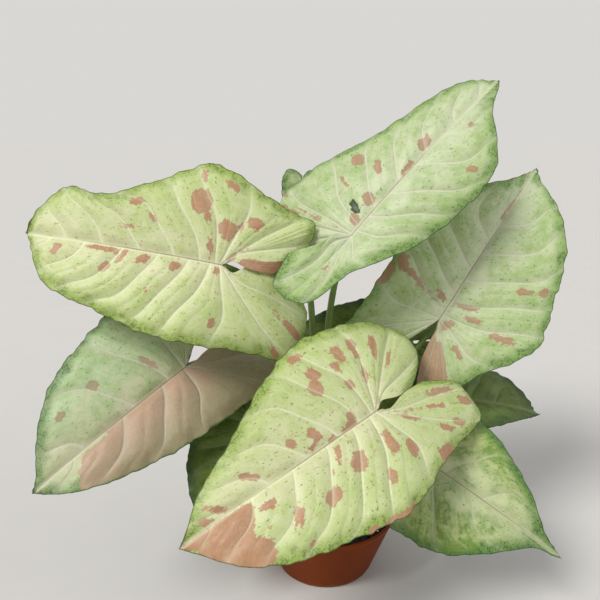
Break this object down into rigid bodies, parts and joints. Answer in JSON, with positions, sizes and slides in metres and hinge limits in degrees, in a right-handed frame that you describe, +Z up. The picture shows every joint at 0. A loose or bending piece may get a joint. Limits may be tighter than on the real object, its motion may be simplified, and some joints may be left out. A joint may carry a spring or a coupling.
{
  "type": "potted syngonium",
  "caption": "Arrowhead house plant: arrow-shaped, variegated leaves on long stalks, rising from short crowns in the soil of a small squat plastic pot.",
  "frame": {"origin": "middle of the pot's flat underside, on the surface that it stands on", "axes": "+Z up, -Y towards the front of the plant, +X to its right seen from the front"},
  "size_m": [0.2671, 0.1756, 0.2606],
  "materials": {
    "terracotta_plastic": "smooth moulded plastic with a soft sheen",
    "potting_soil": "dark damp potting mix with pale grit",
    "green_stem": "smooth, faintly glossy green stalk",
    "lime_leaf": "satin leaf, cream veins and salmon blotches",
    "mint_leaf": "satin leaf, pale middle and green speckled margin",
    "mint_and_pink_leaf": "satin leaf, half of it dusty pink",
    "green_leaf": "satin leaf, mottled pale between the veins",
    "dark_green_leaf": "satin dark green leaf"
  },
  "bodies": {
    "root": {"pot": "terracotta_plastic", "soil": "potting_soil", "stem_left": "green_stem", "stem_centre": "green_stem", "stem_right": "green_stem", "leaf_upper_left": "lime_leaf", "leaf_front": "lime_leaf", "leaf_upper_right": "mint_leaf", "leaf_right": "mint_leaf", "leaf_lower_left": "mint_and_pink_leaf", "leaf_lower_right": "green_leaf", "leaf_small_back": "green_leaf", "leaf_small_right": "dark_green_leaf", "leaf_low_left": "dark_green_leaf", "leaf_inner": "dark_green_leaf"}
  },
  "joints": []
}
